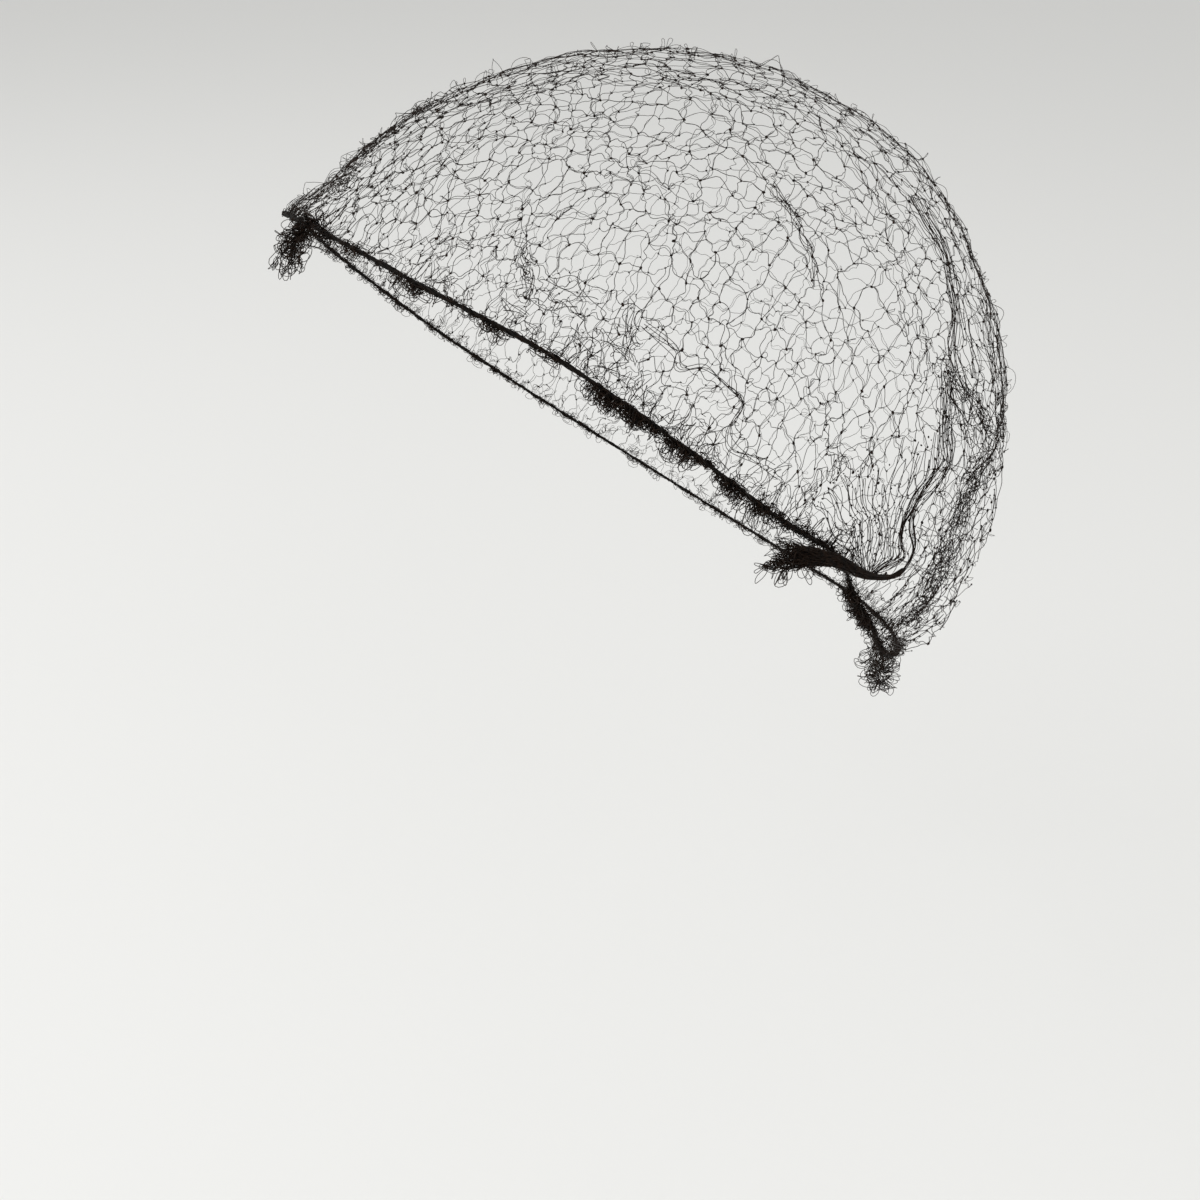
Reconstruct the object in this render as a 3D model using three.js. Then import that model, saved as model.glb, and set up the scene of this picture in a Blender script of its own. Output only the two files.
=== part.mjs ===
// A knotted hairnet in the form that it has when it is worn: a net cap, the elastic cord round
// its edge, and the places where the net's ends are gathered.
// Millimetres, +Z up, -Y towards the wearer's face, +X towards the wearer's left.
// The origin is the middle of the opening that the head goes in through.
import * as THREE from 'three';

// The head that the net is stretched over is close to an ellipsoid above the ears.
const HEAD_HALF_SIZE = new THREE.Vector3(78.4, 95.4, 85.4);
const HEAD_CENTRE = new THREE.Vector3(0, -1.4, -1.3);
// The opening leans back: its edge is high on the forehead and low on the nape.
const OPENING_TILT = 40.6;
const EDGE_HEIGHT = 1.9;

// The net.
const NET_GAP = 0.3;
const NET_WALL = 1.0;
const NET_RINGS = 19;
const NET_SECTORS = 90;
const RIM_HEM = 1.9;
const RIM_TAPER = 9;

// The elastic cord, with the net's edge meshes crowded round it.
const CORD_RADIUS = 1.2;
const CORD_LIFT = 1.5;
const CORD_STEPS = 90;
const CORD_SIDES = 6;

const PIECE_SIDES = 10;
const STEPS_PER_ROW = 3;

// How far the edge hangs below the plane of the opening, going round from the forehead
// (turn 0) by the left ear (turn 90), where the tie kinks it, and the nape (turn 180).
const EDGE_LINE = [
  { turn: 0, drop: 0.9 },
  { turn: 18, drop: 0.5 },
  { turn: 36, drop: -1.0 },
  { turn: 54, drop: -0.2 },
  { turn: 70, drop: 0.9 },
  { turn: 83, drop: 0.4 },
  { turn: 91, drop: 4.8 },
  { turn: 102, drop: 8.0 },
  { turn: 116, drop: 11.0 },
  { turn: 138, drop: 6.5 },
  { turn: 165, drop: 1.0 },
  { turn: 210, drop: 0 },
  { turn: 270, drop: 0.6 },
  { turn: 306, drop: -0.4 },
  { turn: 324, drop: -1.0 },
  { turn: 342, drop: 0.5 },
];

// How far the net's outer side stands off the head near the crown, half way down and close
// to the edge. It is snug on the forehead and baggy on the lower back.
const SLACK = [
  { turn: 0, crown: 2.2, middle: 1.4, edge: 1.4 },
  { turn: 60, crown: 2.4, middle: 2.0, edge: 1.7 },
  { turn: 90, crown: 2.6, middle: 2.7, edge: 2.1 },
  { turn: 124, crown: 3.0, middle: 3.4, edge: 6.2 },
  { turn: 150, crown: 3.0, middle: 3.6, edge: 4.4 },
  { turn: 200, crown: 3.0, middle: 3.6, edge: 3.0 },
  { turn: 260, crown: 2.6, middle: 2.7, edge: 2.1 },
  { turn: 320, crown: 2.2, middle: 1.4, edge: 1.4 },
];

// Folds of the net: a ridge runs from one place to the other. Reach is the angle from the
// pole of the cap down to the edge, which is at about 90 degrees.
const FOLDS = [
  { turn: 91, reach: 88, toTurn: 95, toReach: 84.5, height: 2.6, halfWidth: 5 },
  { turn: 95, reach: 84.5, toTurn: 90.5, toReach: 77, height: 3.0, halfWidth: 5 },
  { turn: 90.5, reach: 77, toTurn: 93, toReach: 68, height: 3.0, halfWidth: 6 },
  { turn: 93, reach: 68, toTurn: 108, toReach: 61, height: 2.4, halfWidth: 6 },
  { turn: 77, reach: 41, toTurn: 87, toReach: 49, height: 2.0, halfWidth: 6 },
  { turn: 87, reach: 49, toTurn: 90, toReach: 56, height: 2.2, halfWidth: 6 },
  { turn: 90, reach: 56, toTurn: 110, toReach: 56.5, height: 1.8, halfWidth: 6 },
  { turn: 47, reach: 53, toTurn: 59, toReach: 62, height: 1.2, halfWidth: 5 },
  { turn: 24, reach: 77, toTurn: 27, toReach: 84, height: 1.2, halfWidth: 5 },
  { turn: 40, reach: 78, toTurn: 43, toReach: 84.5, height: 1.4, halfWidth: 5 },
  { turn: 50, reach: 78, toTurn: 56, toReach: 80, height: 1.4, halfWidth: 5 },
  { turn: 56, reach: 80, toTurn: 59, toReach: 85.5, height: 1.4, halfWidth: 5 },
];

// Gathered pieces, each a row of sections along its middle line: where the section is, how
// far its middle stands off the head, and its half size across and off the head.
const SIDE_GATHER = [
  { turn: 91.2, reach: 87.2, lift: 4.6, across: 0.6, off: 0.6 },
  { turn: 89.4, reach: 88.2, lift: 4.8, across: 2.0, off: 1.4 },
  { turn: 86.0, reach: 89.3, lift: 4.9, across: 2.4, off: 1.8 },
  { turn: 82.0, reach: 89.4, lift: 4.9, across: 2.2, off: 1.8 },
  { turn: 79.6, reach: 89.7, lift: 4.8, across: 1.6, off: 1.4 },
  { turn: 78.4, reach: 89.9, lift: 4.8, across: 0.5, off: 0.5 },
];
const SIDE_TUFT = [
  { turn: 76.9, reach: 90.6, lift: 4.8, across: 0.9, off: 0.9 },
  { turn: 75.6, reach: 92.1, lift: 4.5, across: 2.4, off: 1.9 },
  { turn: 74.0, reach: 93.3, lift: 3.9, across: 2.9, off: 2.3 },
  { turn: 72.6, reach: 94.4, lift: 3.4, across: 2.3, off: 1.8 },
  { turn: 71.6, reach: 95.2, lift: 3.0, across: 0.8, off: 0.7 },
];
const FRONT_GATHER = [
  { turn: 0.6, reach: 89.0, lift: 3.8, across: 1.2, off: 0.8 },
  { turn: 0.4, reach: 90.7, lift: 4.4, across: 2.6, off: 1.4 },
  { turn: 0.2, reach: 92.7, lift: 4.0, across: 3.6, off: 2.8 },
  { turn: 0.4, reach: 94.6, lift: 3.8, across: 3.6, off: 3.0 },
  { turn: 1.0, reach: 96.2, lift: 3.4, across: 2.6, off: 2.2 },
  { turn: 1.6, reach: 97.3, lift: 3.0, across: 0.8, off: 0.7 },
];
const NAPE_GATHER = [
  { turn: 98.4, reach: 94.2, lift: 3.9, across: 1.0, off: 0.8 },
  { turn: 100.4, reach: 96.0, lift: 4.9, across: 3.0, off: 1.6 },
  { turn: 104.0, reach: 98.0, lift: 5.2, across: 4.4, off: 2.6 },
  { turn: 108.5, reach: 99.2, lift: 5.4, across: 4.6, off: 3.0 },
  { turn: 112.6, reach: 99.8, lift: 5.6, across: 3.4, off: 2.4 },
  { turn: 114.8, reach: 100.1, lift: 5.8, across: 1.0, off: 0.9 },
];

const radians = THREE.MathUtils.degToRad;
const SIDE = new THREE.Vector3(1, 0, 0);
const POLE = new THREE.Vector3(0, Math.sin(radians(OPENING_TILT)), Math.cos(radians(OPENING_TILT)));
const FRONT = new THREE.Vector3().crossVectors(SIDE, POLE);

// The direction from the head's centre at a turn round the pole and a reach from it.
function directionAt(turn, reach) {
  const outward = FRONT.clone().multiplyScalar(Math.cos(radians(turn)));
  outward.addScaledVector(SIDE, Math.sin(radians(turn)));
  return outward.multiplyScalar(Math.sin(radians(reach))).addScaledVector(POLE, Math.cos(radians(reach)));
}

function headRadius(direction) {
  return 1 / direction.clone().divide(HEAD_HALF_SIZE).length();
}

function headNormal(turn, reach) {
  return directionAt(turn, reach).divide(HEAD_HALF_SIZE).divide(HEAD_HALF_SIZE).normalize();
}

// A point that stands `lift` off the head.
function pointAt(turn, reach, lift) {
  const direction = directionAt(turn, reach);
  const onHead = direction.clone().multiplyScalar(headRadius(direction)).add(HEAD_CENTRE);
  return onHead.addScaledVector(headNormal(turn, reach), lift);
}

// Cubic interpolation of one column of a table whose rows go once round.
function roundTable(rows, column, turn) {
  const angle = ((turn % 360) + 360) % 360;
  const next = rows.findIndex((row) => row.turn > angle);
  const count = rows.length;
  const last = (next < 0 ? count : next) - 1;
  const rowAt = (offset) => rows[(last + offset + count) % count];
  const span = (rowAt(1).turn - rowAt(0).turn + 360) % 360;
  const t = (angle - rowAt(0).turn) / span;
  const [a, b, c, d] = [-1, 0, 1, 2].map((offset) => rowAt(offset)[column]);
  const bend = 2 * a - 5 * b + 4 * c - d + t * (3 * b - a - 3 * c + d);
  return b + 0.5 * t * (c - a + t * bend);
}

// The reach at which the middle of the elastic cord lies.
function edgeReach(turn) {
  const height = EDGE_HEIGHT - roundTable(EDGE_LINE, 'drop', turn);
  return 90 - THREE.MathUtils.radToDeg(Math.asin(height / headRadius(directionAt(turn, 90))));
}

function foldLift(point) {
  let lift = 0;
  for (const fold of FOLDS) {
    const ridge = new THREE.Line3(
      pointAt(fold.turn, fold.reach, 0),
      pointAt(fold.toTurn, fold.toReach, 0),
    );
    const distance = ridge.closestPointToPoint(point, true, new THREE.Vector3()).distanceTo(point);
    lift = Math.max(lift, fold.height * Math.exp(-((distance / fold.halfWidth) ** 2)));
  }
  return lift;
}

// How far the net's outer side stands off the head. It comes in to the cord at the edge.
function netLift(turn, reach, rimReach) {
  const down = reach / rimReach;
  const crown = SLACK.reduce((sum, row) => sum + row.crown, 0) / SLACK.length;
  const middle = roundTable(SLACK, 'middle', turn);
  const edge = roundTable(SLACK, 'edge', turn);
  const below = (1 - down) * (1 - 2 * down) * crown + 4 * down * (1 - down) * middle;
  const full = below + down * (2 * down - 1) * edge + foldLift(pointAt(turn, reach, 0));
  const hem = THREE.MathUtils.smoothstep(rimReach - reach, 0, RIM_TAPER);
  return THREE.MathUtils.lerp(Math.min(full, NET_GAP + NET_WALL), full, hem);
}

// A closed surface through rings of points. It either closes to a tip at each end or, with
// no tips, joins its last ring to its first.
function throughRings(rings, tips) {
  const sides = rings[0].length;
  const points = rings.flat();
  const faces = [];
  const cornerAt = (ring, side) => (ring % rings.length) * sides + (side % sides);
  const bands = tips ? rings.length - 1 : rings.length;
  for (let ring = 0; ring < bands; ring += 1) {
    for (let side = 0; side < sides; side += 1) {
      const corners = [cornerAt(ring, side), cornerAt(ring, side + 1)];
      corners.push(cornerAt(ring + 1, side + 1), cornerAt(ring + 1, side));
      faces.push(corners[0], corners[1], corners[2], corners[0], corners[2], corners[3]);
    }
  }
  if (tips) {
    points.push(tips[0], tips[1]);
    for (let side = 0; side < sides; side += 1) {
      faces.push(cornerAt(0, side + 1), cornerAt(0, side), points.length - 2);
      const lastRing = rings.length - 1;
      faces.push(cornerAt(lastRing, side), cornerAt(lastRing, side + 1), points.length - 1);
    }
  }
  const geometry = new THREE.BufferGeometry().setFromPoints(points);
  geometry.setIndex(faces);
  geometry.computeVertexNormals();
  return geometry;
}

function ringAt(count, pointOf) {
  return Array.from({ length: count }, (_, index) => pointOf(index / count));
}

// The net: its inner side from the pole to the rim, then its outer side back to the pole.
function netCapGeometry() {
  const netPoint = (share, down, wall) => {
    const turn = share * 360;
    const hem = THREE.MathUtils.radToDeg(RIM_HEM / headRadius(directionAt(turn, 90)));
    const rimReach = edgeReach(turn) - hem;
    const reach = down * rimReach;
    return pointAt(turn, reach, netLift(turn, reach, rimReach) - wall);
  };
  const rings = [];
  for (let ring = 1; ring <= NET_RINGS; ring += 1) {
    rings.push(ringAt(NET_SECTORS, (share) => netPoint(share, ring / NET_RINGS, NET_WALL)));
  }
  for (let ring = NET_RINGS; ring >= 1; ring -= 1) {
    rings.push(ringAt(NET_SECTORS, (share) => netPoint(share, ring / NET_RINGS, 0)));
  }
  return throughRings(rings, [netPoint(0, 0, NET_WALL), netPoint(0, 0, 0)]);
}

// The elastic: one whole loop of round cord.
function edgeCordGeometry() {
  const rings = ringAt(CORD_STEPS, (share) => {
    const turn = share * 360;
    const middle = pointAt(turn, edgeReach(turn), CORD_LIFT);
    const ahead = pointAt(turn + 1, edgeReach(turn + 1), CORD_LIFT);
    const off = headNormal(turn, edgeReach(turn));
    const down = ahead.sub(middle).normalize().cross(off).normalize();
    return ringAt(CORD_SIDES, (round) => {
      const angle = round * 2 * Math.PI;
      const spoke = off.clone().multiplyScalar(Math.cos(angle)).addScaledVector(down, Math.sin(angle));
      return middle.clone().addScaledVector(spoke, CORD_RADIUS);
    });
  });
  return throughRings(rings, null);
}

// A gathered piece: oval sections along a smooth line, closed by a tip at each end.
function gatheredGeometry(rows) {
  const places = new THREE.CatmullRomCurve3(rows.map((row) => pointAt(row.turn, row.reach, row.lift)));
  const sizes = new THREE.CatmullRomCurve3(rows.map((row) => new THREE.Vector3(row.across, row.off, 0)));
  const normals = new THREE.CatmullRomCurve3(rows.map((row) => headNormal(row.turn, row.reach)));
  const steps = (rows.length - 1) * STEPS_PER_ROW;
  const rings = [];
  for (let step = 0; step <= steps; step += 1) {
    const share = step / steps;
    const size = sizes.getPoint(share);
    const along = places.getTangent(share);
    const across = new THREE.Vector3().crossVectors(along, normals.getPoint(share)).normalize();
    const off = new THREE.Vector3().crossVectors(across, along);
    rings.push(ringAt(PIECE_SIDES, (round) => {
      const angle = round * 2 * Math.PI;
      const point = places.getPoint(share);
      point.addScaledVector(across, size.x * Math.sin(angle));
      return point.addScaledVector(off, size.y * Math.cos(angle));
    }));
  }
  const tipAt = (share, way) => {
    const reachOut = sizes.getPoint(share).x * way;
    return places.getPoint(share).addScaledVector(places.getTangent(share), reachOut);
  };
  return throughRings(rings, [tipAt(0, -1), tipAt(1, 1)]);
}

const net = { color: 0x1b1613, roughness: 0.62, metalness: 0 };
const elastic = { color: 0x0d0b0a, roughness: 0.8, metalness: 0 };

function piece(name, geometry, look) {
  const mesh = new THREE.Mesh(geometry, new THREE.MeshStandardMaterial(look));
  mesh.name = name;
  return mesh;
}

const hairnet = new THREE.Group();
hairnet.name = 'hairnet';
hairnet.add(piece('net_cap', netCapGeometry(), net));
hairnet.add(piece('edge_elastic', edgeCordGeometry(), elastic));
hairnet.add(piece('side_gather', gatheredGeometry(SIDE_GATHER), net));
hairnet.add(piece('side_tuft', gatheredGeometry(SIDE_TUFT), net));
hairnet.add(piece('front_gather', gatheredGeometry(FRONT_GATHER), net));
hairnet.add(piece('nape_gather', gatheredGeometry(NAPE_GATHER), net));

export default hairnet;
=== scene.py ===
"""A knotted hairnet in the form that it has when it is worn, down to its strands and knots.

Metres, +Z up, -Y towards the wearer's face, +X towards the wearer's left. The origin is the
middle of the opening. A place on the net is a turn round the pole of the cap (0 at the
forehead, 90 at the left ear, 180 at the nape) and a reach from that pole, both in degrees.
Strands are laid out on the net spread flat round its pole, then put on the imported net_cap.
"""

import math

import bpy
import numpy as np
from mathutils import Matrix, Vector
from mathutils.bvhtree import BVHTree


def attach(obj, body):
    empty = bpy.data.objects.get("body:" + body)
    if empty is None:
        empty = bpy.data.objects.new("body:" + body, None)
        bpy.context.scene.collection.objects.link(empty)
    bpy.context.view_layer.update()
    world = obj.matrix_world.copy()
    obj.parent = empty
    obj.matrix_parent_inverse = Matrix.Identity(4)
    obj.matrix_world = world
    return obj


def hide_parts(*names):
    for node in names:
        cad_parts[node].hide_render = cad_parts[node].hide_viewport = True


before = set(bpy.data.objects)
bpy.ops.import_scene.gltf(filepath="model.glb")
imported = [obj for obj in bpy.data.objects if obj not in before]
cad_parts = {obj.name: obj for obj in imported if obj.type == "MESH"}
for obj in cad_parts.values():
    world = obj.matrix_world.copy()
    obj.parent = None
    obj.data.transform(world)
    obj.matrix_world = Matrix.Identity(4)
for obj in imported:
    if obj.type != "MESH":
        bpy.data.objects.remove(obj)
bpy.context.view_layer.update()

MM = 0.001
SEED = 20
rng = np.random.default_rng(SEED)

# The camera's place, the line that it looks along and its roll about it, and the pale floor.
CAMERA_PLACE = Vector((0.21134, -0.16144, 0.12128))
CAMERA_LOOK = Vector((-0.67958, 0.50109, -0.53579))
CAMERA_ROLL = math.radians(0.5)
CAMERA_LENS = 36
CAMERA_SENSOR = 36
CAMERA_NEAREST = 0.01
FLOOR_HEIGHT = -0.1908
FLOOR_HALF_SIZE = 6.0
FLOOR_COLOUR = (0.8, 0.8, 0.79, 1)
FLOOR_ROUGHNESS = 0.6

# Soft lights, each with its place, width and power, and the pale surroundings.
LIGHTS = {"key": ((-0.5, -1.2, 1.3), 1.0, 14), "fill": ((1.4, 0.2, 0.9), 1.2, 7)}
WORLD_COLOUR = (0.95, 0.95, 0.935, 1)
WORLD_STRENGTH = 0.75

# The threads: dark and light dye, the part of the dye's noise over which one turns into the
# other, how much finer the twist is than that noise, its depth, and the gloss.
NET_DYE = ((0.003, 0.0018, 0.001), (0.022, 0.011, 0.006))
ELASTIC_DYE = ((0.003, 0.0025, 0.0022), (0.012, 0.009, 0.007))
DYE_LIMITS = (0.35, 0.7)
TWIST_PER_DYE = 2
TWIST_DEPTH = 0.03 * MM
GLOSS = 0.12
SHEEN_SPREAD = 0.15

# The head that the net is stretched over: an ellipsoid, and about how far its surface lies from
# its centre. The pole of the cap leans back.
HEAD_HALF_SIZE = np.array([78.4, 95.4, 85.4]) * MM
HEAD_CENTRE = np.array([0, -1.4, -1.3]) * MM
HEAD_RADIUS = 85 * MM
OPENING_TILT = math.radians(40.6)
POLE = np.array([0, math.sin(OPENING_TILT), math.cos(OPENING_TILT)])
SIDE = np.array([1.0, 0, 0])
FRONT = np.cross(SIDE, POLE)

# The strands lie this much closer to the narrow forehead than the plain net_cap does, but not
# over the last few degrees before the elastic.
FOREHEAD_SNUG = 2.0 * MM
FOREHEAD_HEM = 7.0

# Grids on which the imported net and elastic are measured, in degrees.
GRID_TURNS = np.arange(0, 360, 2)
GRID_REACHES = np.arange(0, 112, 1)
ELASTIC_STEP = 4

# Guards against a division by nothing, and against the rounding of a measure.
TINY = 1e-12
ROUNDING = 1e-9

# The net: the half thickness of a strand that has a twin, that runs alone, and in a loop, and
# the size of a cell, of its knots and of the knots where drawn net is joined.
STRAND = 0.055 * MM
LONE_STRAND = 0.07 * MM
LOOP_STRAND = 0.075 * MM
TUBE_SIDES = 3
CELL_WIDTH = 8.6 * MM
CELL_HEIGHT = 6.2 * MM
KNOT = 0.23 * MM
DRAWN_KNOT = 0.16 * MM
KNOT_STRETCH = 1.5
LEG_STEPS = 9
# How far knots drift together, over which wavelength, and each on its own.
DRIFT = 1.5 * MM
DRIFT_WAVELENGTH = 30 * MM
JITTER = 0.65 * MM
# How far knots stand off the net_cap in millimetres: more, and in gentle bags, at the back.
KNOT_LIFT = (0.35, 0.75)
KNOT_SINK = 0.6
BAG_LIFT = 1.1
BAG_WAVELENGTH = 25 * MM
# How far legs stray from a straight line, in millimetres: in a bow, in an S, in quick waves,
# in kinks and along themselves. A few of them puff out. They stray more near the elastic.
LEG_BOW = 0.6
LEG_CURL = 0.38
LEG_WIGGLE = 0.16
LEG_KINK = 0.05
LEG_SLIP = 0.21
PUFFED_LEGS = 0.06
LEG_PUFF = (1.4, 0.7)
EDGE_SLACK = 0.9
EDGE_SLACK_REACH = 6
# The share of knots with a curl of slack strand, and its length in millimetres.
CURLED_KNOTS = 0.42
CURL_LENGTH = 1.5
# The net ends this many degrees short of the elastic, and legs run on to it from there.
EDGE_GAP = 0.8
# Pieces of net: the crown within this reach of the pole, and a quarter each below it.
CROWN_REACH = 40
QUARTERS = ("net_front", "net_left", "net_back", "net_right", "net_crown")

# Folds of the net, where its strands crowd along a line: the places at its two ends, how much
# closer the strands lie in the middle, and how wide the crowding is in millimetres.
PLEATS = [
    ((22, 75), (30, 85), 0.6, 7),
    ((38, 78), (43, 85), 0.6, 6),
    ((45, 79.5), (57, 80.5), 0.4, 5),
    ((57, 80.5), (62, 86), 0.4, 5),
    ((75, 36), (86, 45), 0.5, 8),
    ((86, 45), (87, 58), 0.6, 8),
    ((69, 44), (80, 56), 0.4, 6),
    ((80, 56), (90, 63), 0.6, 7),
    ((88, 59), (108, 59), 0.6, 8),
    ((47, 54), (58, 61), 0.5, 6),
    ((108, 60), (103, 70), 0.65, 9),
    ((103, 70), (104, 80), 0.65, 9),
    ((104, 80), (106, 91), 0.65, 9),
]

# Where the loose outer meshes take the place of most of the net, and how much of it is left.
LOOSE_TURNS = (109, 134)
LOOSE_REACHES = (58, 95)
LOOSE_LEFT = 0.2

# The fan: the net drawn together into the tie at the left ear. Each row of places runs from
# the tie outwards, and strands are spread evenly from the first row to the last.
FAN = [
    [(88.2, 89.3), (83.6, 88.7), (78.2, 87.6), (74.2, 86.4), (70.1, 85.5)],
    [(88.5, 89.1), (83.5, 87.0), (79.1, 85.0), (75.0, 83.6), (72.0, 82.2)],
    [(88.7, 89.0), (84.3, 86.1), (80.7, 83.2), (77.0, 81.1), (74.0, 79.0)],
    [(89.0, 88.9), (86.9, 85.5), (83.4, 82.4), (80.1, 80.0), (77.4, 76.4)],
    [(89.2, 88.8), (89.3, 84.6), (85.7, 81.5), (83.1, 78.1), (82.4, 71.6)],
    [(89.5, 88.7), (91.6, 84.2), (88.8, 80.2), (87.3, 74.5), (86.4, 65.6)],
    [(89.3, 88.6), (93.0, 84.1), (90.3, 79.2), (90.8, 71.8), (87.3, 62.2)],
    [(89.1, 88.5), (94.6, 84.6), (91.0, 79.5), (92.6, 71.0), (88.0, 61.0)],
]
FAN_LIFT = 3.6
FAN_STRANDS = 46
FAN_CLUMPS = 9
FAN_END_LIFT = 0.3 * MM
# No leg that joins an end of the fan to the net around it is longer than this.
LONGEST_LEG = 8.5 * MM

# Net drawn together in bundles. Each row is a place along the middle, as a turn, a reach, how
# far it stands off the head and the half width of the bundle there, in millimetres.
ROPE = [
    (88.6, 88.8, 4.6, 0.5),
    (94.2, 86.3, 4.6, 0.55),
    (95.0, 82.3, 4.4, 1.0),
    (91.0, 79.6, 4.4, 1.5),
    (90.3, 76.5, 4.4, 2.0),
    (92.5, 72.5, 4.4, 2.4),
    (93.8, 69.1, 4.4, 2.6),
    (90.8, 66.4, 4.4, 2.6),
    (89.0, 62.0, 4.2, 3.4),
    (87.0, 57.0, 4.0, 4.4),
]
RIDGE = [
    (74.6, 35.9, 3.6, 3.4),
    (78.6, 39.1, 3.8, 3.2),
    (84.3, 41.6, 4.0, 3.0),
    (86.1, 46.9, 4.2, 2.6),
    (87.6, 50.9, 4.2, 2.2),
    (87.7, 55.9, 4.4, 2.4),
    (92.0, 58.5, 4.4, 2.6),
    (99.0, 59.4, 4.4, 2.6),
    (108.0, 60.0, 4.4, 2.6),
]
S_PLEAT = [
    (41.9, 79.6, 2.6, 0.9),
    (46.3, 79.9, 2.8, 0.9),
    (48.1, 81.4, 3.0, 0.6),
    (50.4, 79.7, 3.0, 0.6),
    (54.0, 79.8, 3.0, 0.6),
    (56.7, 80.4, 3.0, 0.8),
    (57.0, 84.0, 3.0, 0.9),
    (58.6, 85.6, 3.0, 0.9),
    (62.2, 85.0, 3.0, 1.2),
    (66.0, 84.6, 3.0, 1.6),
]
SIDE_RIDGE = [
    (45.5, 53.2, 2.6, 1.4),
    (51.1, 55.6, 3.0, 0.5),
    (54.5, 57.3, 3.0, 0.4),
    (56.8, 58.9, 3.0, 0.5),
    (58.8, 62.4, 2.8, 1.4),
]
# For each of these bundles: its rows, how many strands it has, the steps along them, how many
# rows of knots join them, and how far they sway in millimetres.
DRAWN_BUNDLES = [
    (ROPE, 11, 60, 12, 0.3),
    (RIDGE, 9, 54, 9, 0.5),
    (S_PLEAT, 4, 44, 8, 0.5),
    (SIDE_RIDGE, 3, 26, 5, 0.4),
]

# Slack net crumpled along a line, in rows of the same kind.
BAND_TOP = [
    (84.0, 57.6, 4.2, 3.4),
    (92.0, 61.0, 4.6, 5.0),
    (100.0, 62.0, 4.8, 5.0),
    (109.0, 61.6, 4.8, 4.4),
]
BAND_DOWN = [
    (108.6, 59.6, 5.0, 4.6),
    (103.9, 67.0, 5.0, 4.6),
    (102.5, 72.1, 5.0, 4.0),
    (104.0, 78.7, 5.0, 3.8),
    (106.0, 84.0, 5.0, 4.2),
    (106.4, 89.6, 5.0, 3.8),
    (102.6, 93.6, 5.0, 2.8),
]
TEMPLE = [
    (29.2, 83.2, 2.4, 2.6),
    (33.8, 81.5, 2.4, 2.6),
    (38.5, 82.0, 2.6, 2.6),
    (43.4, 84.1, 2.6, 2.2),
]
CREASE_FRONT = [
    (24.5, 76.7, 1.2, 0.9),
    (26.0, 79.7, 1.4, 1.1),
    (28.1, 82.1, 1.6, 1.2),
    (29.2, 84.4, 1.6, 1.2),
]
CREASE_SIDE = [
    (38.5, 76.1, 1.6, 1.2),
    (40.2, 78.7, 1.8, 1.2),
    (41.5, 81.4, 2.0, 1.4),
    (42.7, 83.6, 2.0, 1.4),
]
FOREHEAD = [
    (-6.0, 86.0, 0.6, 2.2),
    (-8.2, 82.2, -0.5, 2.8),
    (-11.5, 77.9, -0.6, 3.4),
    (-13.7, 70.8, -0.4, 3.4),
    (-11.2, 63.2, 0.2, 3.0),
]
# For each of these: its rows, how many strands it has, the share of the line that one covers,
# the size of its coils and the depth of the layer in millimetres, and its half thickness.
CRUMPLED = [
    (BAND_TOP, 26, 0.5, 1.1, 1.0, LOOP_STRAND),
    (BAND_DOWN, 76, 0.16, 1.2, 1.2, LOOP_STRAND),
    (TEMPLE, 8, 0.5, 0.9, 1.0, LONE_STRAND),
    (CREASE_FRONT, 8, 0.7, 0.7, 0.6, LONE_STRAND),
    (CREASE_SIDE, 8, 0.7, 0.8, 0.6, LONE_STRAND),
    (FOREHEAD, 26, 0.22, 0.9, 1.0, LONE_STRAND),
]
TANGLE_STEPS = 26

# The loose outer meshes behind the ear: the turn, reach and height off the head of the knots
# in their outer chain, and from there to the knots further in.
OUTER_CHAIN = [
    (113.9, 39.1, 3.6),
    (120.5, 43.2, 3.6),
    (120.9, 51.1, 4.4),
    (120.8, 56.5, 3.6),
    (124.9, 62.4, 4.8),
    (121.7, 68.7, 5.8),
    (124.3, 71.8, 6.0),
    (122.3, 78.2, 5.0),
    (125.1, 84.1, 5.2),
    (124.7, 86.7, 6.0),
    (124.9, 90.9, 6.0),
    (118.6, 93.9, 3.6),
    (108.0, 95.0, 3.6),
]
CHAIN_TO_INNER = np.array([-8.0, 0.0, -0.4])
INNER_TO_DEEP = np.array([-7.0, 1.2, -0.3])
CHAIN_STRAND = 0.09 * MM
CHAIN_KNOT = 0.27 * MM
CHAIN_STEPS = 10

# Thin strands that cross from the rope to the crumpled band behind it.
CROSSINGS = 12
CROSSING_REACHES = (69, 85)
CROSSING_TURN = 92.5
CROSSING_LENGTH = 12

# The tie: net gathered in a bundle that runs forwards and ends in a tuft.
TIE = [
    (94.6, 85.4, 4.6, 0.5),
    (92.6, 87.2, 4.7, 0.5),
    (89.4, 88.4, 4.8, 0.6),
    (86.0, 89.2, 4.9, 0.9),
    (82.0, 89.5, 4.9, 1.2),
    (79.6, 89.9, 4.8, 1.3),
    (77.4, 90.7, 4.7, 1.6),
    (75.2, 91.7, 4.3, 2.1),
    (73.0, 92.7, 3.9, 2.9),
    (70.8, 93.5, 3.5, 3.5),
]
# Strands of the tie: the first of its rows that they run over, how many there are, the steps
# along them, how they fray, and between which shares of the line their ends come.
TIE_STRANDS = [
    (0, 70, 24, 0.14, (0.0, 0.6)),
    (2, 70, 18, 0.16, (0.3, 0.6)),
    (4, 150, 16, 0.2, (0.1, 0.62)),
]

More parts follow.
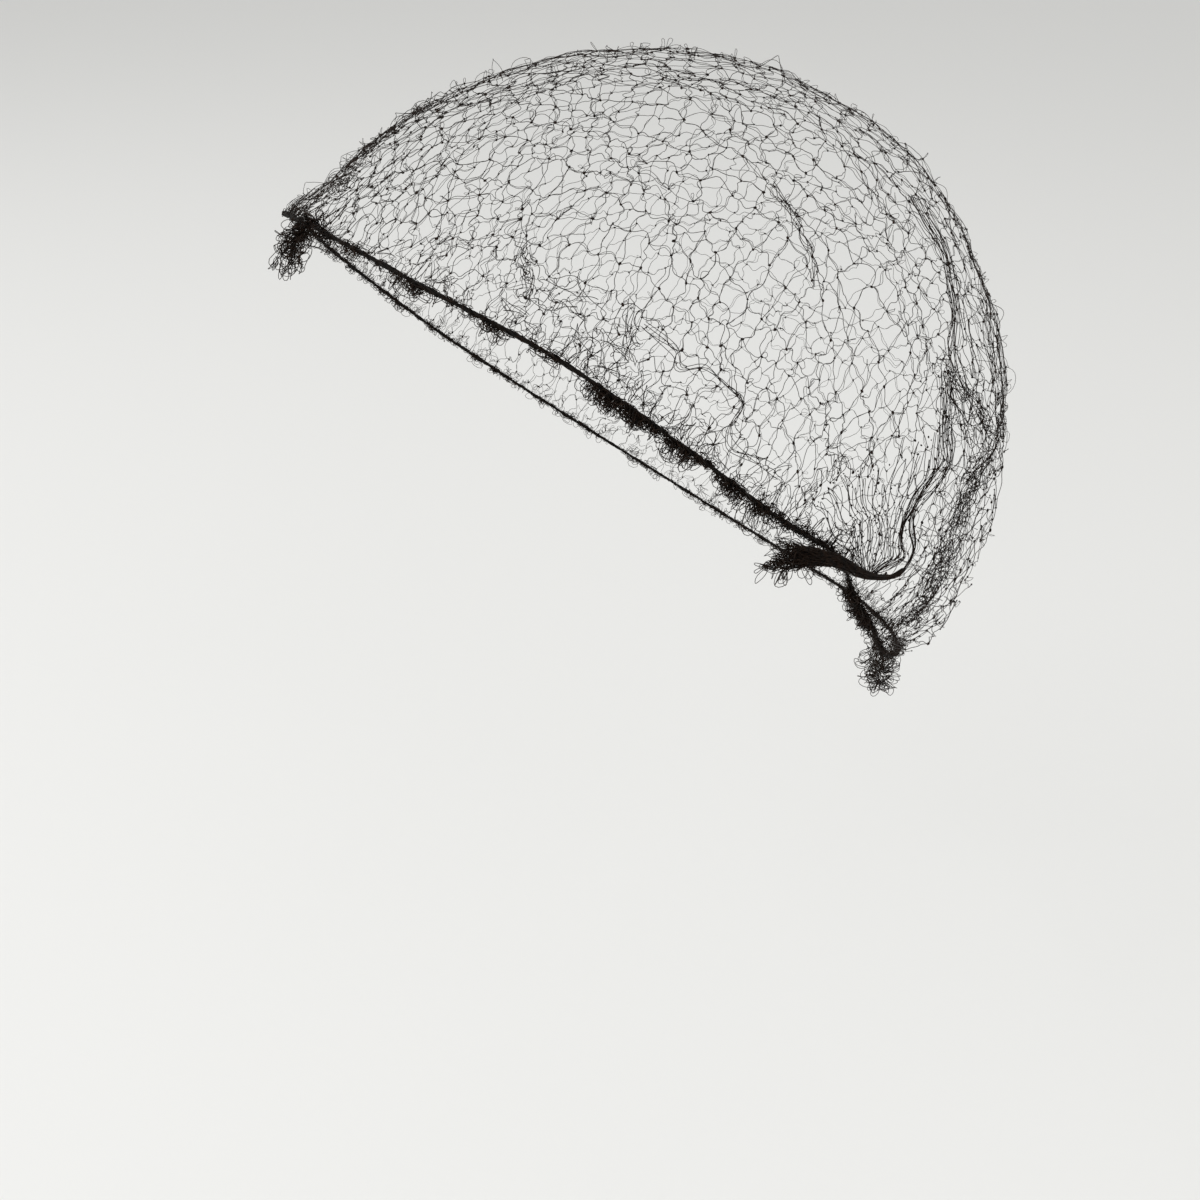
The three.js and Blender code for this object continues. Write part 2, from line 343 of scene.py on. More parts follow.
# The bunches and the tuft. Crumpled strands lie round the middle of the solid that a piece
# takes the place of, within a share of its width, and tighter ones form a core. Round loops
# stand out of the given span of it, more or less one way. Sizes are in millimetres.
GATHERS = [
    {
        "node": "front_gather", "name": "front_loops", "strands": 40, "width": 1.3, "coil": 1.0,
        "core": 8, "loops": 84, "size": 2.7, "span": (0.0, 0.55), "toward": (0, -1.0, 0.45),
    },
    {
        "node": "nape_gather", "name": "nape_loops", "strands": 22, "width": 0.9, "coil": 1.3,
        "core": 14, "loops": 84, "size": 3.0, "span": (0.1, 0.85), "toward": (0, 0, 0),
    },
    {
        "node": "side_tuft", "name": "tie_tuft", "strands": 8, "width": 0.5, "coil": 0.5,
        "core": 20, "loops": 34, "size": 3.0, "span": (0.0, 1.0), "toward": (0, 0, -1.0),
    },
]
CORE_WIDTH = 0.35
CORE_COIL = 0.35

# The elastic: plies twisted round each other.
PLIES = 4
PLY_STRAND = 0.22 * MM
PLY_RADIUS = 0.2 * MM
PLY_TWISTS = 60

# Small loops of net round the elastic: how many, between which turns, how high they stand in
# millimetres, the degrees that they run over, and the clusters that they gather in. `below`
# is how strongly they keep to the elastic's lower side.
CURLS = [
    {"count": 1300, "turns": (0, 360), "height": 0.28, "steps": 6},
    {"count": 640, "turns": (0, 322), "height": 0.8, "steps": 7, "clusters": 110},
    {"count": 500, "turns": (0, 322), "height": 1.15, "steps": 7, "clusters": 120, "below": 0.9},
    {"count": 400, "turns": (12, 68), "height": 1.8, "run": 1.0, "clusters": 20, "below": 0.95},
    {"count": 240, "turns": (0, 322), "height": 1.3, "clusters": 120, "strand": STRAND},
    {"count": 160, "turns": (66, 84), "height": 1.0},
    {"count": 220, "turns": (89, 100), "height": 1.5, "below": 0.85},
]
# Longer loops that hang from the elastic: how many, between which turns, their length in
# millimetres and their half thickness. Then the slack meshes that rise from it, in degrees.
HANGING = [
    (12, (63.5, 70.5), 5.6, LOOP_STRAND),
    (18, (24, 96), 2.8, LONE_STRAND),
]
ARCHES = [
    (44, (28, 88), 2.6, LONE_STRAND),
    (180, (-180, 180), 1.2, STRAND),
]


# -------- places on the net


def direction(turn, reach):
    """Unit vectors from the head's centre at turns and reaches in degrees."""
    turn, reach = np.radians(turn), np.radians(reach)
    outward = np.cos(turn)[..., None] * FRONT + np.sin(turn)[..., None] * SIDE
    return np.sin(reach)[..., None] * outward + np.cos(reach)[..., None] * POLE


def unit(vectors):
    """Vectors of the same directions with a length of one."""
    return vectors / np.maximum(np.linalg.norm(vectors, axis=-1, keepdims=True), TINY)


def square_to(axis, vectors):
    """Unit vectors at right angles to an axis, as near to these vectors as they can be."""
    return unit(vectors - (vectors * axis).sum(-1, keepdims=True) * axis)


def between(a, b, c, d, t):
    """Values at a share of the way from b to c, on a smooth curve through all four."""
    bend = 2 * a - 5 * b + 4 * c - d + t * (3 * b - a - 3 * c + d)
    return b + 0.5 * t * (c - a + t * bend)


def place_of(points):
    """The turn and reach of points in the row frame."""
    ray = unit(points - HEAD_CENTRE)
    return np.degrees(np.arctan2(ray @ SIDE, ray @ FRONT)), np.degrees(np.arccos(ray @ POLE))


def node_mesh(name):
    """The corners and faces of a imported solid."""
    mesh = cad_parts[name].data
    return np.array([v.co for v in mesh.vertices]), [tuple(p.vertices) for p in mesh.polygons]


def measure_cap():
    """The distance from the head's centre to the net's outer side, on a grid of directions."""
    vertices, faces = node_mesh("net_cap")
    tree = BVHTree.FromPolygons([tuple(v) for v in vertices], faces)
    radii = np.zeros((GRID_TURNS.size, GRID_REACHES.size))
    for column, turn in enumerate(GRID_TURNS):
        rays = direction(np.full(GRID_REACHES.size, float(turn)), GRID_REACHES.astype(float))
        for row, ray in enumerate(rays):
            start = HEAD_CENTRE + ray * 2 * HEAD_RADIUS
            hit = tree.ray_cast(Vector(start), Vector(-ray), 1.5 * HEAD_RADIUS)[0]
            last = radii[column, row - 1] if row else HEAD_RADIUS
            radii[column, row] = (hit - Vector(HEAD_CENTRE)).length if hit else last
    return radii


def measure_elastic():
    """Points on the elastic's middle line, one at each step of the turn."""
    vertices, _ = node_mesh("edge_elastic")
    steps = 360 // ELASTIC_STEP
    nearest = np.round(place_of(vertices)[0] / ELASTIC_STEP).astype(int) % steps
    return np.array([vertices[nearest == step].mean(0) for step in range(steps)])


def elastic_at(turn):
    """Points on the elastic's middle line at these turns."""
    steps = len(elastic_points)
    share = np.asarray(turn, float) / ELASTIC_STEP
    low = np.floor(share).astype(int)
    near = (elastic_points[(low + k) % steps] for k in (-1, 0, 1, 2))
    return between(*near, (share - low)[..., None])


def edge_reach(turn):
    """The elastic's reach at these turns."""
    return place_of(elastic_at(turn))[1]


def flat_of(turn, reach):
    """Where a turn and reach lie on the net spread flat, in metres."""
    turn, reach = np.radians(turn), np.radians(reach)
    return np.stack([np.cos(turn), np.sin(turn)], -1) * (reach * HEAD_RADIUS)[..., None]


def turn_reach(flat):
    """The turn and reach of places on the net spread flat."""
    turn = np.degrees(np.arctan2(flat[..., 1], flat[..., 0]))
    return turn, np.degrees(np.hypot(flat[..., 0], flat[..., 1]) / HEAD_RADIUS)


def on_net(flat, lift):
    """Points in the row frame for places on the flat net, this far off the net's outer side."""
    turn, reach = turn_reach(flat)
    column = (turn % 360) / (GRID_TURNS[1] - GRID_TURNS[0])
    row = np.clip(reach / (GRID_REACHES[1] - GRID_REACHES[0]), 0, GRID_REACHES.size - 1.001)
    c0, r0 = np.floor(column).astype(int), np.floor(row).astype(int)
    s, t = column - c0, row - r0
    c1 = (c0 + 1) % GRID_TURNS.size
    c0 = c0 % GRID_TURNS.size
    radius = (1 - s) * ((1 - t) * cap_radii[c0, r0] + t * cap_radii[c0, r0 + 1])
    radius += s * ((1 - t) * cap_radii[c1, r0] + t * cap_radii[c1, r0 + 1])
    front = np.clip(np.cos(np.radians(turn)), 0, 1) ** 3 * np.sin(np.radians(reach)) ** 2
    front = front * np.clip((edge_reach(turn) - reach) / FOREHEAD_HEM, 0, 1)
    radius = radius - FOREHEAD_SNUG * front
    return HEAD_CENTRE + direction(turn, reach) * (radius + lift)[..., None]


def on_head(flat, lift):
    """Points in the row frame for places on the flat net, this far off the head."""
    ray = direction(*turn_reach(flat))
    radius = 1 / np.linalg.norm(ray / HEAD_HALF_SIZE, axis=-1)
    normal = unit(ray / HEAD_HALF_SIZE ** 2)
    return HEAD_CENTRE + ray * radius[..., None] + normal * np.asarray(lift)[..., None]


def smooth_rows(rows, steps):
    """A smooth run of values through the rows of an array, sampled evenly."""
    rows = np.asarray(rows, float)
    padded = np.concatenate([2 * rows[:1] - rows[1:2], rows, 2 * rows[-1:] - rows[-2:-1]])
    share = np.linspace(0, len(rows) - 1, steps + 1)
    low = np.minimum(share.astype(int), len(rows) - 2)
    t = (share - low).reshape((-1,) + (1,) * (rows.ndim - 1))
    return between(*(padded[low + k] for k in range(4)), t)


# -------- tubes and knots


def tubes(paths, radius=STRAND, sides=TUBE_SIDES):
    """Closed tubes along many paths of the same number of points: vertices and faces."""
    count, steps, _ = paths.shape
    radius = np.broadcast_to(np.asarray(radius, float), (count, steps))
    along = unit(np.gradient(paths, axis=1))
    normal = np.empty_like(paths)
    before = unit(paths[:, 0] - HEAD_CENTRE) + 0.01 * SIDE
    for step in range(steps):
        before = square_to(along[:, step], before)
        normal[:, step] = before
    across = np.cross(along, normal)
    angles = (np.arange(sides) * math.tau / sides)[:, None]
    spokes = normal[:, :, None] * np.cos(angles) + across[:, :, None] * np.sin(angles)
    vertices = paths[:, :, None] + spokes * radius[:, :, None, None]
    corner = np.arange(count * steps * sides).reshape(count, steps, sides)
    following = np.roll(corner, -1, axis=2)
    quads = np.stack([corner[:, :-1], following[:, :-1], following[:, 1:], corner[:, 1:]], -1)
    ends = [corner[:, 0, ::-1], corner[:, -1]]
    faces = [quads.reshape(-1, 4)] + [end.reshape(-1, sides) for end in ends]
    return vertices.reshape(-1, 3), faces


def lump():
    """The corners and faces of a regular solid with twenty faces."""
    golden = (1 + 5 ** 0.5) / 2
    pairs = [(a, b) for a in (-1, 1) for b in (-golden, golden)]
    corners = [(a, b, 0) for a, b in pairs] + [(0, a, b) for a, b in pairs]
    corners = unit(np.array(corners + [(b, 0, a) for a, b in pairs], float))
    count = len(corners)
    gaps = np.linalg.norm(corners[:, None] - corners[None], axis=-1)
    near = gaps < 1.1 * gaps[gaps > ROUNDING].min()
    faces = []
    for i in range(count):
        for j in range(i + 1, count):
            for k in range(j + 1, count):
                if near[i, j] and near[j, k] and near[i, k]:
                    turned = np.dot(np.cross(corners[j], corners[k]), corners[i]) < 0
                    faces.append((i, k, j) if turned else (i, j, k))
    return corners, np.array(faces)


def knots(centres, size):
    """Small lumps, each longer along a random line that lies in the net."""
    corners, faces = lump()
    out = unit(centres - HEAD_CENTRE)
    along = square_to(out, rng.normal(0, 1, centres.shape))
    across = np.cross(along, out)
    x, y, z = corners.T[:, None, :, None]
    shape = x * along[:, None] * KNOT_STRETCH + y * across[:, None] + z * out[:, None]
    sizes = size * rng.uniform(0.75, 1.25, len(centres))
    vertices = centres[:, None] + shape * sizes[:, None, None]
    offsets = np.arange(len(centres))[:, None, None] * len(corners)
    return vertices.reshape(-1, 3), [(faces[None] + offsets).reshape(-1, 3)]


def make_piece(name, parts, material, slot_name, *nodes):
    """One joined mesh from several (vertices, faces) parts, in place of some nodes."""
    runs, base = [], 0
    for points, groups in parts:
        runs.extend(group + base for group in groups)
        base += len(points)
    vertices = np.concatenate([points for points, _ in parts])
    loops = np.concatenate([run.reshape(-1) for run in runs])
    totals = np.concatenate([np.full(len(run), run.shape[1]) for run in runs])
    starts = np.concatenate([[0], np.cumsum(totals)[:-1]])
    mesh = bpy.data.meshes.new(name)
    mesh.vertices.add(len(vertices))
    mesh.vertices.foreach_set("co", vertices.astype(np.float32).ravel())
    mesh.loops.add(len(loops))
    mesh.loops.foreach_set("vertex_index", loops.astype(np.int32))
    mesh.polygons.add(len(totals))
    mesh.polygons.foreach_set("loop_start", starts.astype(np.int32))
    mesh.update(calc_edges=True)
    mesh.validate()
    mesh.shade_smooth()
    mesh.materials.append(material)
    piece = bpy.data.objects.new(name, mesh)
    bpy.context.scene.collection.objects.link(piece)
    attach(piece, "root")
    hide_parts(*nodes)
    print(f"{name}: {int((totals - 2).sum())} triangles")


# -------- the net


def smooth_field(points, wavelength, size, width=2, waves=10):
    """A gentle random shift of flat points, or a value for each where the width is 1."""
    shift = np.zeros(points.shape[:-1] + (width,))
    for _ in range(waves):
        heading = rng.uniform(0, math.tau)
        pitch = math.tau / (wavelength * rng.uniform(0.7, 1.6))
        phase = rng.uniform(0, math.tau)
        push = rng.normal(0, size / math.sqrt(waves), width)
        ahead = points[..., 0] * math.cos(heading) + points[..., 1] * math.sin(heading)
        shift += np.sin(pitch * ahead + phase)[..., None] * push
    return shift


def crowd_to_folds(points):
    """Flat points drawn towards the folds."""
    for start, end, crowd, width in PLEATS:
        start, end = flat_of(*np.array([start, end], float).T)
        run = end - start
        share = np.clip(((points - start) @ run) / (run @ run), 0, 1)[..., None]
        away = points - (start + share * run)
        distance = np.linalg.norm(away, axis=-1, keepdims=True)
        points = points - away * crowd * np.exp(-((distance / (width * MM)) ** 2))
    return points


def inside_fan(points):
    """Whether flat points lie in the stretch of net that is drawn into the fan."""
    outline = FAN[0] + [row[-1] for row in FAN[1:]] + FAN[-1][-2::-1]
    corners = flat_of(*np.array(outline, float).T)
    following = np.roll(corners, -1, axis=0)
    inside = np.zeros(points.shape[:-1], bool)
    for (x0, y0), (x1, y1) in zip(corners, following):
        spans = (y0 > points[..., 1]) != (y1 > points[..., 1])
        crossing = x0 + (points[..., 1] - y0) * (x1 - x0) / (y1 - y0 + TINY)
        inside ^= spans & (points[..., 0] < crossing)
    return inside


def lay_out_net():
    """Knots of the flat net, and the pairs of them that its legs join."""
    rows = int(1.25 * math.pi * HEAD_RADIUS / CELL_HEIGHT)
    columns = int(0.65 * math.pi * HEAD_RADIUS / CELL_WIDTH)
    row, column = np.meshgrid(
        np.arange(-rows, rows + 1), np.arange(-columns, columns + 1), indexing="ij"
    )
    odd = row % 2
    points = np.stack([row * CELL_HEIGHT / 2, (column + 0.5 * odd) * CELL_WIDTH], -1)
    points = points.reshape(-1, 2)
    index = np.arange(row.size).reshape(row.shape)
    legs = []
    for parity in (0, 1):
        here = index[:-1][odd[:-1, 0] == parity]
        there = index[1:][odd[:-1, 0] == parity]
        legs.append(np.stack([here, there], -1).reshape(-1, 2))
        if parity:
            legs.append(np.stack([here[:, :-1], there[:, 1:]], -1).reshape(-1, 2))
        else:
            legs.append(np.stack([here[:, 1:], there[:, :-1]], -1).reshape(-1, 2))
    points = points + smooth_field(points, DRIFT_WAVELENGTH, DRIFT)
    points = points + rng.normal(0, JITTER, points.shape)
    return crowd_to_folds(points), np.concatenate(legs)


def net_legs():
    """Ends of the net's legs on the flat net, their lifts, and the knots with their lifts."""
    points, legs = lay_out_net()
    turn, reach = turn_reach(points)
    inside = reach < edge_reach(turn) - EDGE_GAP
    baggy = 0.5 - 0.5 * np.cos(np.radians(turn))
    spread = KNOT_LIFT[0] + (KNOT_LIFT[1] - KNOT_LIFT[0]) * baggy
    lift = spread * np.abs(rng.normal(0, 1, len(points))) - KNOT_SINK
    lift = lift + BAG_LIFT * baggy * np.abs(smooth_field(points, BAG_WAVELENGTH, 1, 1)[:, 0])
    lift = np.where(inside, lift, 0) * MM
    drawn_in = inside_fan(points)
    kept = legs[inside[legs].any(1) & ~drawn_in[legs].any(1)]
    turn, reach = turn_reach(points[kept].mean(1))
    loose = (turn > LOOSE_TURNS[0]) & (turn < LOOSE_TURNS[1])
    loose &= (reach > LOOSE_REACHES[0]) & (reach < LOOSE_REACHES[1])
    kept = kept[~loose | (rng.random(len(kept)) < LOOSE_LEFT)]
    first, second = points[kept[:, 0]], points[kept[:, 1]]
    over = (~inside[kept[:, 0]], ~inside[kept[:, 1]])
    for here, there, beyond in ((first, second, over[0]), (second, first, over[1])):
        edge_turn = turn_reach(0.6 * here[beyond] + 0.4 * there[beyond])[0]
        here[beyond] = flat_of(edge_turn, edge_reach(edge_turn))
    lifts = np.stack([lift[kept[:, 0]], lift[kept[:, 1]]], -1)
    used = np.unique(kept)
    used = used[inside[used]]
    return first, second, lifts, points[used], lift[used]


def leg_paths(start, end, lifts, twin):
    """One of the two strands of each leg, bowed and curled between the knots."""
    share = np.linspace(0, 1, LEG_STEPS + 1)
    swell = np.sin(math.pi * share)
    run = end - start
    across = unit(np.stack([-run[:, 1], run[:, 0]], -1))
    offset = twin["bow"][:, None] * swell + twin["curl"][:, None] * np.sin(math.tau * share)
    offset = offset + twin["wiggle"] @ np.sin(math.pi * np.array([[3], [4]]) * share)
    offset = offset + twin["kink"] * np.minimum(swell * 2, 1)
    forward = twin["slip"][:, None] * np.sin(math.tau * share)
    flat = start[:, None] + run[:, None] * share[:, None]
    flat = flat + across[:, None] * offset[..., None] + unit(run)[:, None] * forward[..., None]
    lift = lifts[:, :1] * (1 - share) + lifts[:, 1:] * share + twin["puff"][:, None] * swell
    return on_net(flat, lift)


def slack_at(points):
    """How slack the net is at flat points: slacker near the elastic."""
    turn, reach = turn_reach(points)
    return 1 + EDGE_SLACK * np.exp(-(((edge_reach(turn) - reach) / EDGE_SLACK_REACH) ** 2))


def net_strands(start, end, lifts, lone=0.5):
    """Tubes of the legs between these flat points: one strand each, or two."""
    count = len(start)
    slack = slack_at(0.5 * (start + end))
    bow = rng.normal(0, LEG_BOW, count) * slack * MM
    curl = rng.normal(0, LEG_CURL, count) * slack * MM
    wiggle = rng.normal(0, LEG_WIGGLE, (count, 2)) * slack[:, None] * MM
    apart = np.where(rng.random(count) < 0.5, 0.08, np.abs(rng.normal(0.5, 0.3, count))) * MM
    single = rng.random(count) < lone
    parts = []
    for way in (-0.5, 0.5):
        twin = {
            "bow": bow + way * apart,
            "curl": curl + rng.normal(0, 0.25, count) * apart,
            "wiggle": wiggle + rng.normal(0, 0.15, (count, 2)) * apart[:, None],
            "slip": rng.normal(0, LEG_SLIP, count) * slack * MM,
            "kink": rng.normal(0, LEG_KINK * MM, (count, LEG_STEPS + 1)),
            "puff": np.where(
                rng.random(count) < PUFFED_LEGS,
                np.abs(rng.normal(*LEG_PUFF, count)),
                rng.normal(0.05, 0.25, count) * slack,
            ) * MM,
        }
        paths = leg_paths(start, end, lifts, twin)
        if way < 0:
            parts.append(tubes(paths, np.where(single, LONE_STRAND, STRAND)[:, None]))
        else:
            parts.append(tubes(paths[~single]))
    return parts


def standing_curls(places, lifts):
    """Small loops of slack strand that stand at some of the knots."""
    chosen = rng.random(len(places)) < CURLED_KNOTS
    base = on_net(places[chosen], lifts[chosen])
    upright = unit(base - HEAD_CENTRE) * rng.uniform(-0.1, 1, (len(base), 1))
    axis = unit(upright + 0.6 * unit(rng.normal(0, 1, base.shape)))
    aside = unit(np.cross(axis, rng.normal(0, 1, base.shape)))
    length = np.abs(rng.normal(CURL_LENGTH, 0.45 * CURL_LENGTH, len(base))) * MM
    width = length * rng.uniform(0.4, 1.1, len(base))
    return loop_paths(base, axis, aside, length, width, 10, 0.12)


def wander(count, steps, waves, size):
    """Smooth random offsets along strands."""
    share = np.linspace(0, 1, steps + 1)
    total = np.zeros((count, steps + 1))
    for wave in range(1, waves + 1):
        phase = rng.uniform(0, math.tau, (count, 1))
        height = rng.normal(0, 1, (count, 1))
        total += height * np.sin(math.pi * wave * share + phase) / math.sqrt(waves)
    return total * size


def fan_patch():
    """Flat places over the fan, across it and then along it, and their lifts."""
    table = smooth_rows(np.array([smooth_rows(row, 120) for row in FAN]), 60)
    return flat_of(table[..., 0], table[..., 1]), np.full(121, FAN_LIFT * MM)


def bundle_patch(rows):
    """Flat places over a flattened bundle, across it and then along it, and their lifts."""
    table = smooth_rows(rows, 120)
    middle = flat_of(table[:, 0], table[:, 1])
    heading = unit(np.gradient(middle, axis=0))
    aside = np.stack([-heading[:, 1], heading[:, 0]], -1) * (table[:, 3:] * MM)
    return middle + np.linspace(-1, 1, 61)[:, None, None] * aside, table[:, 2] * MM


def on_patch(patch, across, along):
    """Values of a patch at shares across and along it."""
    row = np.clip(across, 0, 0.99999) * (patch.shape[0] - 1)
    column = np.clip(along, 0, 0.99999) * (patch.shape[1] - 1)
    r, c = row.astype(int), column.astype(int)
    s, t = (row - r)[..., None], (column - c)[..., None]
    low = patch[r, c] * (1 - t) + patch[r, c + 1] * t
    return low * (1 - s) + (patch[r + 1, c] * (1 - t) + patch[r + 1, c + 1] * t) * s


def drawn_net(patch, lifts, count, steps, rows, sway, shortest, clumps=0):
    """Net drawn together: strands along a patch, pinched in pairs where knots join them.

    Gives flat places along the strands, their lifts, and the knots as points in the row frame.
    """
    share = (np.arange(count) + 0.5) / count + rng.normal(0, 0.2 / count, count)
    if clumps:
        pitch = math.tau * clumps
        share = np.clip(share + 0.75 * np.sin(pitch * share + 1) / pitch, 0.005, 0.995)
    along = np.linspace(0, 1, steps + 1) * rng.uniform(shortest, 1, (count, 1))
    spread = np.repeat(share[:, None], steps + 1, axis=1)
    joins = []
    for row in range(1, rows + 1):
        middles = (row + rng.uniform(-0.3, 0.3, count)) / (rows + 1)
        for first in range(row % 2, count - 1, 2):
            both, middle = [first, first + 1], middles[first]
            near = np.exp(-(((along[both] - middle) * rows / 0.25) ** 2))
            spread[both] += near * (share[both].mean() - share[both])[:, None]
            joins.append((share[both].mean(), middle))
    joins = np.array(joins)

    def place(across, along):
        """Flat places on the swaying patch."""
        flat = on_patch(patch, across, along)
        wave = math.tau * (1.8 * along - 0.8 * across)
        ramp = np.clip(along * 3, 0, 1) * sway * MM
        lean = np.stack([np.sin(wave) + 0.5 * np.sin(2.3 * wave + 1), np.cos(1.2 * wave)], -1)
        return flat + lean * ramp[..., None]

    flat = place(spread, along)
    flat = flat + np.stack([wander(count, steps, 14, 0.17 * MM) for _ in range(2)], -1)
    low = np.clip(along * (len(lifts) - 1), 0, len(lifts) - 1).astype(int)
    lift = lifts[low] + wander(count, steps, 5, 0.3 * MM)
    joins = joins[joins[:, 1] > 0.2]
    low = (joins[:, 1] * (len(lifts) - 1)).astype(int)
    return flat, lift, on_head(place(joins[:, 0], joins[:, 1]), lifts[low])


def fan_parts(knot_places):
    """The fan, and the legs from its ends out to the net around it."""
    flat, lift, joins = drawn_net(*fan_patch(), FAN_STRANDS, 40, 8, 0.9, 0.72, FAN_CLUMPS)
    for first in range(0, FAN_STRANDS - 1, 2):
        pair = slice(first, first + 2)
        hold = np.clip((np.linspace(0, 1, flat.shape[1]) - 0.8) / 0.2, 0, 1) ** 2
        end = flat[pair, -1].mean(0)
        flat[pair] += hold[None, :, None] * (end - flat[pair, -1])[:, None]
    ends = flat[::2, -1]
    gaps = np.linalg.norm(ends[:, None] - knot_places[None], axis=-1)
    nearest = gaps.argsort(1)[:, :3]
    starts = np.repeat(ends, 3, axis=0)
    targets = knot_places[nearest.reshape(-1)]
    close = np.linalg.norm(targets - starts, axis=-1) < LONGEST_LEG
    starts, targets = starts[close], targets[close]
    lifts = np.full((len(starts), 2), FAN_END_LIFT)
    parts = [tubes(on_head(flat, lift), LONE_STRAND), knots(joins, DRAWN_KNOT)]
    parts.append(knots(on_net(ends, FAN_END_LIFT), KNOT))
    return parts + net_strands(starts, targets, lifts, 0.8)


def drawn_parts(rows, count, steps, knot_rows, sway):
    """A fold of net drawn together along a line."""
    flat, lift, joins = drawn_net(*bundle_patch(rows), count, steps, knot_rows, sway, 0.9)
    return [tubes(on_head(flat, lift), LONE_STRAND), knots(joins, DRAWN_KNOT)]


def chain_legs():
    """Nearly straight legs of the loose outer meshes, and the knots at their corners."""
    outer = [np.array(row) for row in OUTER_CHAIN]
    inner = [0.5 * (a + b) + CHAIN_TO_INNER for a, b in zip(outer[:-1], outer[1:])]
    deep = [row + INNER_TO_DEEP for row in inner]
    legs = list(zip(outer[:-1], outer[1:]))
    legs += list(zip(outer[:-1], inner)) + list(zip(outer[1:], inner)) + list(zip(inner, deep))
    legs += list(zip(inner[:-1], deep[1:]))
    ends = np.array(legs)
    share = np.linspace(0, 1, CHAIN_STEPS + 1)
    table = ends[:, :1] * (1 - share[:, None]) + ends[:, 1:] * share[:, None]
    count = len(ends)
    swell = np.sin(math.pi * share)
    sway = np.stack([wander(count, CHAIN_STEPS, 4, 0.3 * MM) for _ in range(2)], -1)
    flat = flat_of(table[..., 0], table[..., 1]) + sway * swell[:, None]
    lift = table[..., 2] * MM + wander(count, CHAIN_STEPS, 3, 0.35 * MM) * swell
    corners = np.array(outer + inner)
    return on_head(flat, lift), on_head(flat_of(corners[:, 0], corners[:, 1]), corners[:, 2] * MM)


def cross_paths(steps=18):
    """Thin strands that cross from the rope to the crumpled band behind it."""
    count, share = CROSSINGS, np.linspace(0, 1, steps + 1)
    reach = np.linspace(*CROSSING_REACHES, count)[:, None] + rng.normal(0, 0.6, (count, 1))
    reach = reach + rng.normal(0, 1.2, (count, 1)) * share + wander(count, steps, 4, 0.35)
    turn = CROSSING_TURN + rng.uniform(-1, 1, (count, 1)) + CROSSING_LENGTH * share
    lift = (4.5 + 0.6 * share + wander(count, steps, 3, 0.4)) * MM
    return on_head(flat_of(turn + 0 * reach, reach), lift)


def line_of(rows, steps=400):
    """Points along the middle of a bundle or tangle, and its half width there."""
    table = smooth_rows(rows, steps)
    return on_head(flat_of(table[:, 0], table[:, 1]), table[:, 2] * MM), table[:, 3] * MM


def along_line(line, half, share):
    """The middle, half width and directions of a line at these shares of it."""
    steps = len(line) - 1
    place = np.clip(share, 0, 1) * steps
    low = np.minimum(place.astype(int), steps - 1)
    t = place - low
    middle = line[low] * (1 - t)[..., None] + line[low + 1] * t[..., None]
    heading = unit(line[low + 1] - line[low])
    out = square_to(heading, unit(middle - HEAD_CENTRE))
    return middle, half[low] * (1 - t) + half[low + 1] * t, heading, out, np.cross(heading, out)


def bundle_paths(rows, count, steps, fray, span):
    """Strands that run side by side along the rows of a bundle."""
    first = rng.uniform(0, span[0] + ROUNDING, (count, 1))
    last = rng.uniform(span[1], 1, (count, 1))
    share = first + (last - first) * np.linspace(0, 1, steps + 1)
    middle, half, _, out, across = along_line(*line_of(rows), share)
    angle = rng.uniform(0, math.tau, (count, 1)) + wander(count, steps, 3, 0.8)
    off = np.sqrt(rng.uniform(0, 1, (count, 1))) * half
    aside = off * np.cos(angle) + wander(count, steps, 4, fray) * half
    above = 0.7 * off * np.sin(angle) + wander(count, steps, 4, fray) * half * 0.6
    return middle + across * aside[..., None] + out * above[..., None]


def tangle_paths(line, half, count, run, coil, layer):
    """Curled strands crumpled along a line."""
    steps = TANGLE_STEPS
    start = rng.uniform(-0.02, 1 - run * 0.6, (count, 1))
    share = start + run * rng.uniform(0.5, 1.2, (count, 1)) * np.linspace(0, 1, steps + 1)
    middle, half, heading, out, across = along_line(line, half, share)
    aside = rng.uniform(-1, 1, (count, 1)) * half + wander(count, steps, 4, 0.35) * half
    above = wander(count, steps, 4, 0.5 * layer * MM)
    above = above + rng.uniform(-0.6, 0.8, (count, 1)) * layer * MM
    turns = rng.uniform(1.0, 3.2, (count, 1)) * rng.choice([-1, 1], (count, 1))
    angle = math.tau * turns * np.linspace(0, 1, steps + 1) + rng.uniform(0, 6.3, (count, 1))
    radius = coil * MM * rng.uniform(0.4, 1.4, (count, 1))
    tilt = rng.uniform(0, math.pi, (count, 1))
    points = middle + heading * (radius * np.sin(angle))[..., None]
    points = points + across * (aside + radius * np.cos(angle) * np.cos(tilt))[..., None]
    return points + out * (above + radius * np.cos(angle) * np.sin(tilt))[..., None]


def loop_paths(base, axis, aside, length, width, steps, crumple):
    """Drop-shaped loops that stand from their bases."""
    share = np.linspace(0, 1, steps + 1)
    count = len(base)
    reach = length[:, None] * 0.5 * (1 - np.cos(math.tau * share))
    swell = np.sin(math.pi * share)
    spread = 0.5 * width[:, None] * np.sin(math.tau * share) * (0.35 + 0.65 * swell ** 2)
    points = base[:, None] + axis[:, None] * reach[..., None] + aside[:, None] * spread[..., None]
    for way in (axis, aside, np.cross(axis, aside)):
        shake = wander(count, steps, 5, crumple) * length[:, None]
        points = points + way[:, None] * shake[..., None] * swell[:, None]
    return points


# -------- the elastic


